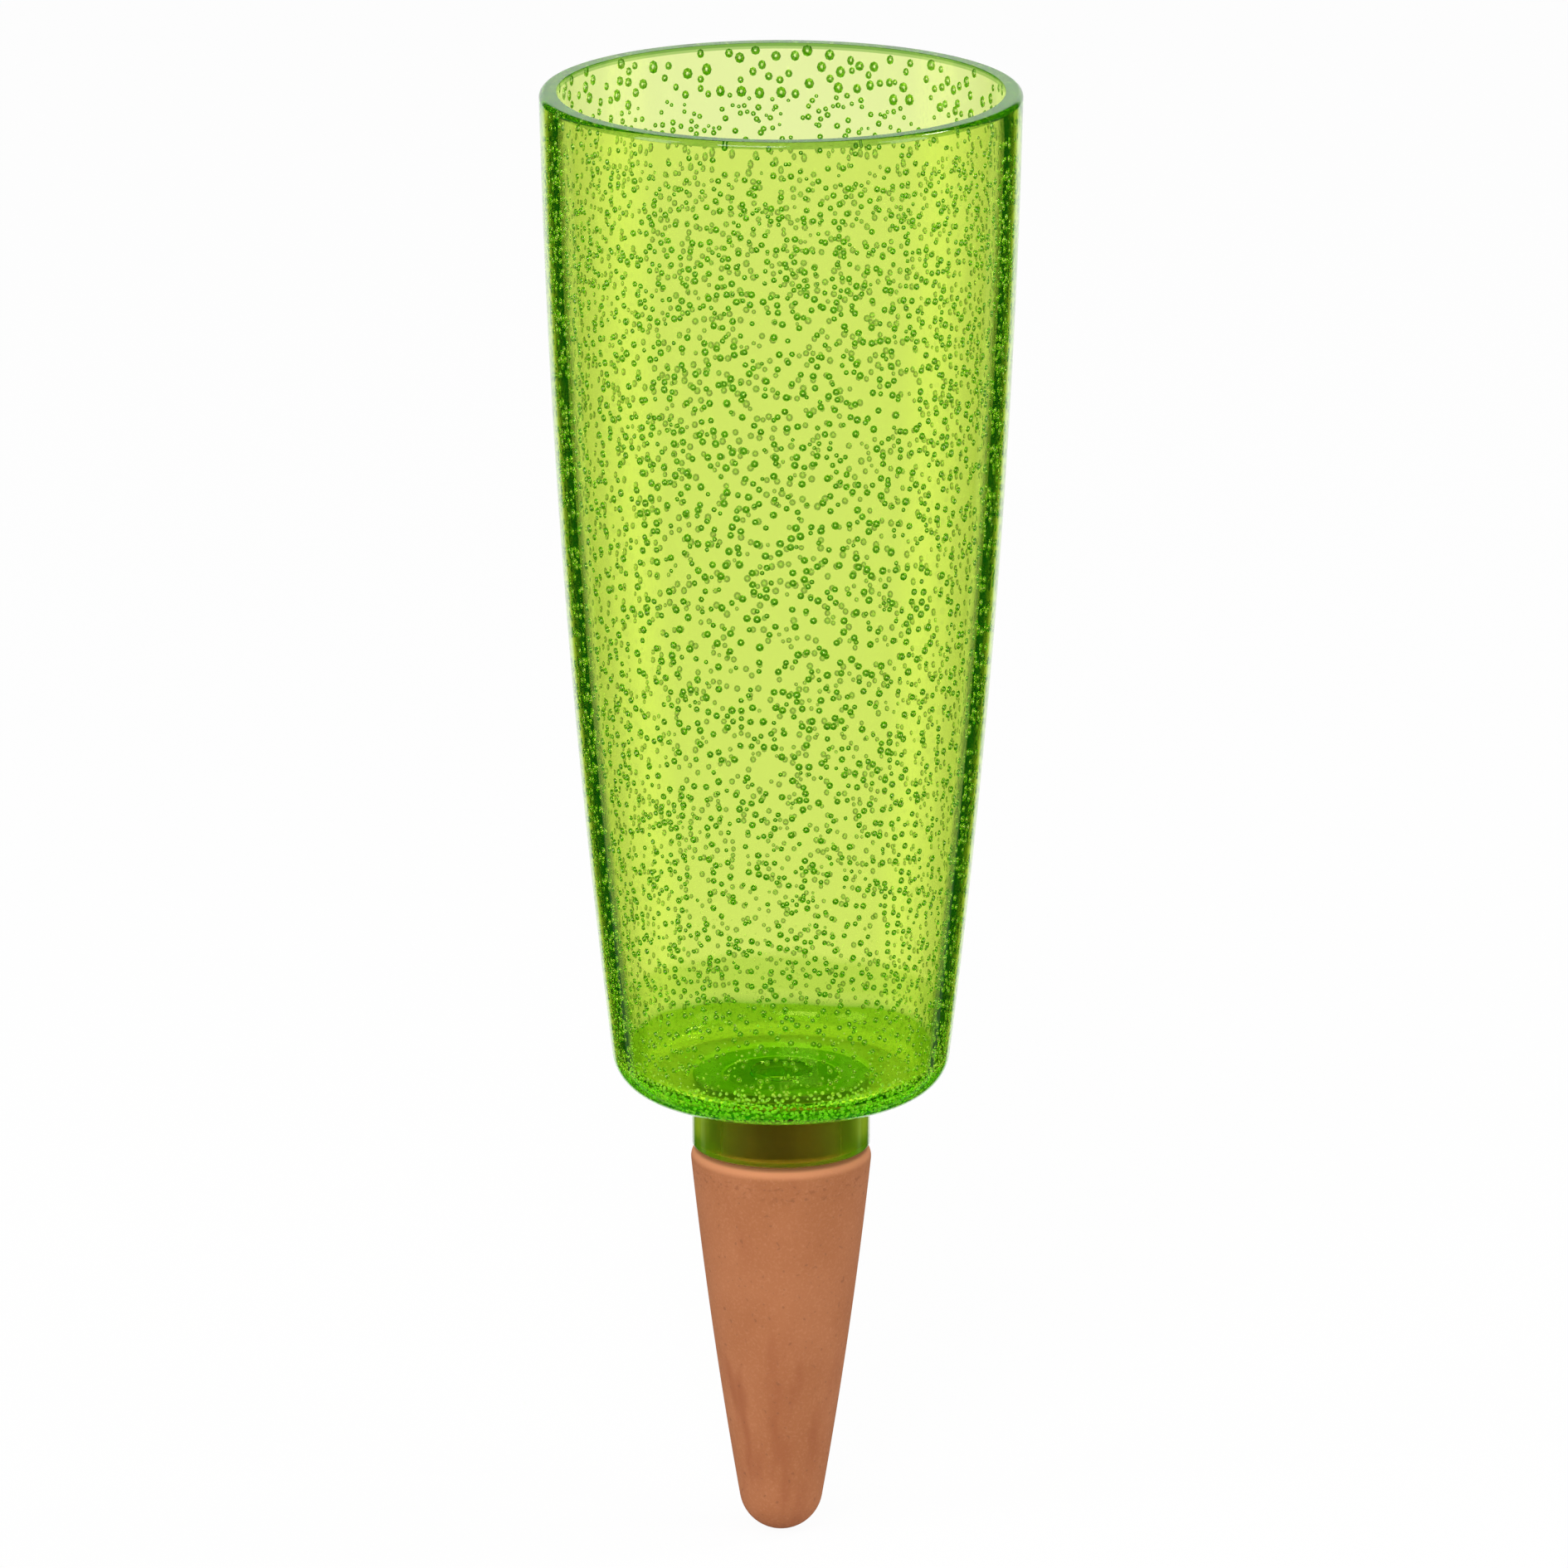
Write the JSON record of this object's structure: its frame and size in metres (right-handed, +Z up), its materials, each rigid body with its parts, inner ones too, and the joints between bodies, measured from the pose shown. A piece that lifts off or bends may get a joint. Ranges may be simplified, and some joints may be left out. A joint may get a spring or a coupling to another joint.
{
  "type": "self watering spike",
  "caption": "Tall flared bubble-glass reservoir cup with a clear neck collar that pushes onto a hollow terracotta cone, which seeps water into the soil.",
  "frame": {"origin": "on the axis at the soil line, where the collar meets the shoulder of the clay cone", "axes": "+Z up the axis from the cone's tip to the cup's rim; the object is round about it, so X and Y are free"},
  "size_m": [0.08, 0.08, 0.2508],
  "materials": {
    "bubble_glass": "clear, gloss, full of small air bubbles",
    "collar_glass": "clear, gloss, no bubbles",
    "seal_rubber": "matt translucent silicone",
    "terracotta": "unglazed, matt, fine grain"
  },
  "bodies": {
    "cone": {"clay_cone": "terracotta"},
    "seal": {"seal_washer": "seal_rubber"},
    "cup": {"reservoir_cup": "bubble_glass", "neck_collar": "collar_glass"}
  },
  "joints": [
    {"name": "cup_twist", "type": "hinge", "parent": "cone", "child": "seal", "pos_m": [0, 0, 0], "axis": [0, 0, 1], "continuous": true},
    {"name": "cup_lift", "type": "slide", "parent": "seal", "child": "cup", "axis": [0, 0, 1], "range_m": [0, 0.03]}
  ]
}
